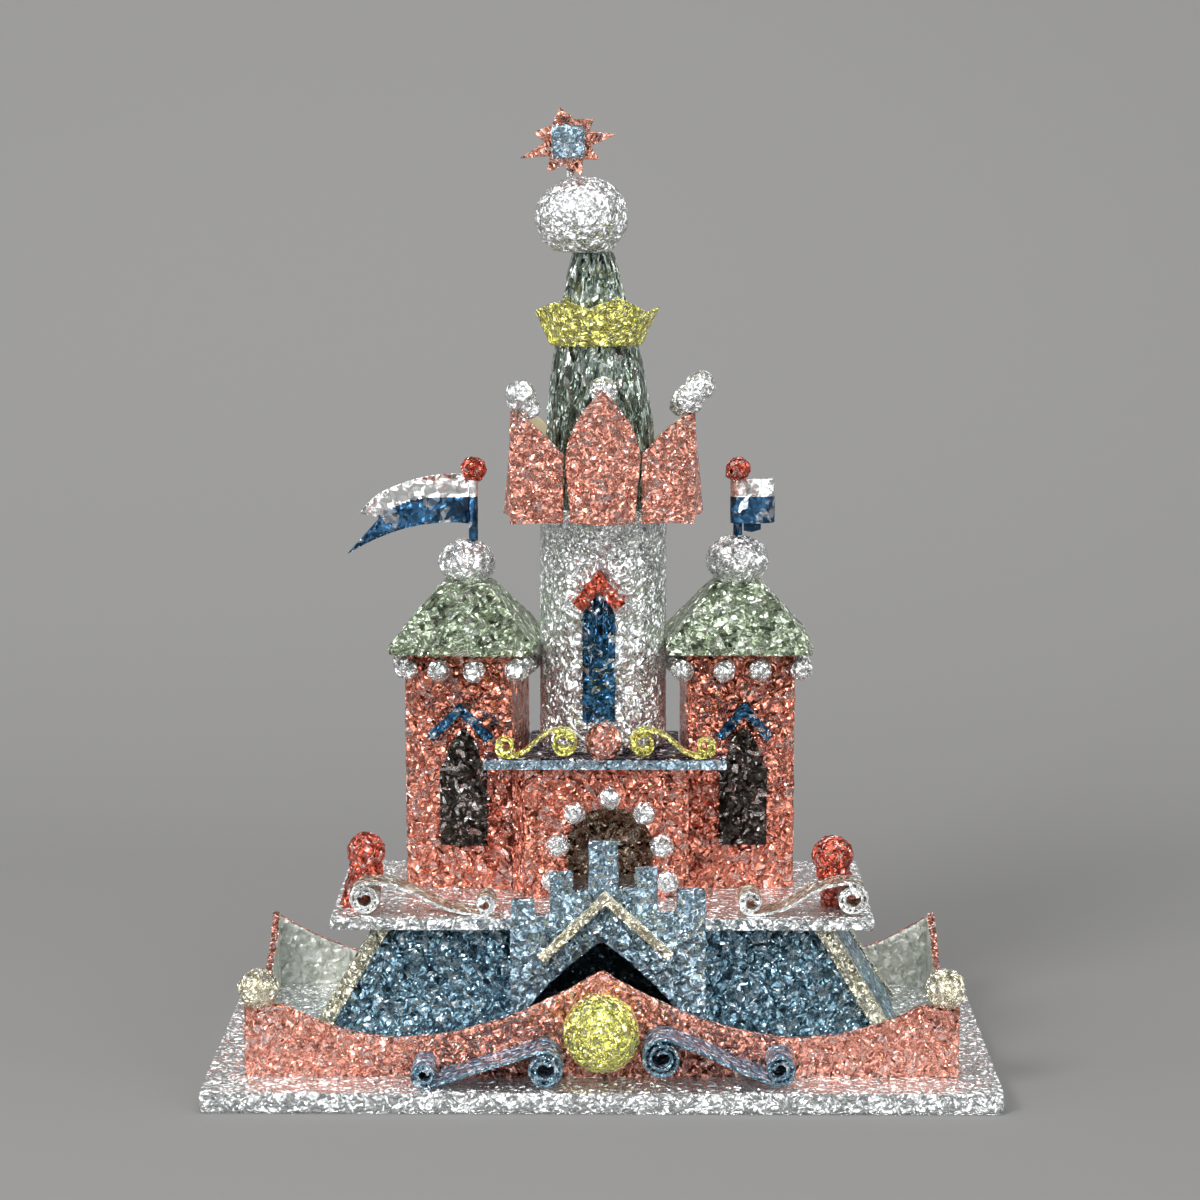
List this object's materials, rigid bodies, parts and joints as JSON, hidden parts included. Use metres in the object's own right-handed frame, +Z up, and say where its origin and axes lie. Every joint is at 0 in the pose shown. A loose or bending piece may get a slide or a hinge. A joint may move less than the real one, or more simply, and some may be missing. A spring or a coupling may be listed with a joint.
{
  "type": "toy castle",
  "caption": "Toy castle of folded card wrapped in coloured foil, with a walled base, terrace, square towers, a tall round keep, petal collar, spire and star.",
  "frame": {"origin": "centre of the base board's underside", "axes": "+Z up, +Y from the gate towards the back, +X to the right seen from the gate"},
  "size_m": [0.2, 0.12, 0.2474],
  "materials": {
    "foil_silver": "crumpled foil over card",
    "foil_rose": "crumpled foil over card",
    "foil_red": "crumpled foil over card",
    "foil_blue": "crumpled foil over card",
    "foil_steel": "crumpled foil over card",
    "foil_plum": "crumpled foil over card",
    "foil_green": "crumpled foil over card",
    "foil_dark_green": "crumpled foil over card",
    "foil_black": "crumpled foil",
    "foil_gold": "crumpled foil",
    "foil_pale_gold": "crumpled foil",
    "foil_ball_silver": "crumpled foil",
    "foil_strip_blue": "quilled foil strip",
    "foil_strip_silver": "quilled foil strip",
    "foil_flag": "smooth foil"
  },
  "bodies": {
    "root": {"back_wall": "foil_rose", "base_board": "foil_silver", "collar_floor": "foil_silver", "corner_ball_left": "foil_pale_gold", "corner_ball_right": "foil_pale_gold", "corner_petals": "foil_rose", "corner_strips": "foil_pale_gold", "crown": "foil_gold", "door_beads": "foil_ball_silver", "door_panel": "foil_black", "eave_beads_left": "foil_ball_silver", "eave_beads_right": "foil_ball_silver", "flag_left": "foil_flag", "flag_right": "foil_flag", "flagpole_left": "foil_ball_silver", "flagpole_right": "foil_ball_silver", "front_scroll_left": "foil_strip_blue", "front_scroll_right": "foil_strip_blue", "front_wall": "foil_rose", "gable_ball": "foil_red", "gable_scroll_left": "foil_gold", "gable_scroll_right": "foil_gold", "gate_boss": "foil_gold", "gate_chevron": "foil_pale_gold", "gatehouse": "foil_steel", "keep": "foil_silver", "keep_chevron": "foil_red", "keep_window": "foil_blue", "petal_balls": "foil_ball_silver", "podium_back": "foil_blue", "podium_front": "foil_blue", "podium_left": "foil_blue", "podium_right": "foil_blue", "pole_ball_left": "foil_red", "pole_ball_right": "foil_red", "porch": "foil_red", "porch_roof": "foil_plum", "roof_ball_left": "foil_ball_silver", "roof_ball_right": "foil_ball_silver", "roof_left": "foil_green", "roof_right": "foil_green", "side_petals": "foil_rose", "side_wall_left": "foil_rose", "side_wall_right": "foil_rose", "spire": "foil_dark_green", "star": "foil_rose", "star_centre": "foil_blue", "star_pin": "foil_ball_silver", "terrace": "foil_silver", "terrace_post_left": "foil_red", "terrace_post_right": "foil_red", "terrace_scroll_left": "foil_strip_silver", "terrace_scroll_right": "foil_strip_silver", "top_ball": "foil_ball_silver", "tower_chevron_left": "foil_blue", "tower_chevron_right": "foil_blue", "tower_left": "foil_red", "tower_right": "foil_red", "tower_window_left": "foil_black", "tower_window_right": "foil_black"}
  },
  "joints": []
}
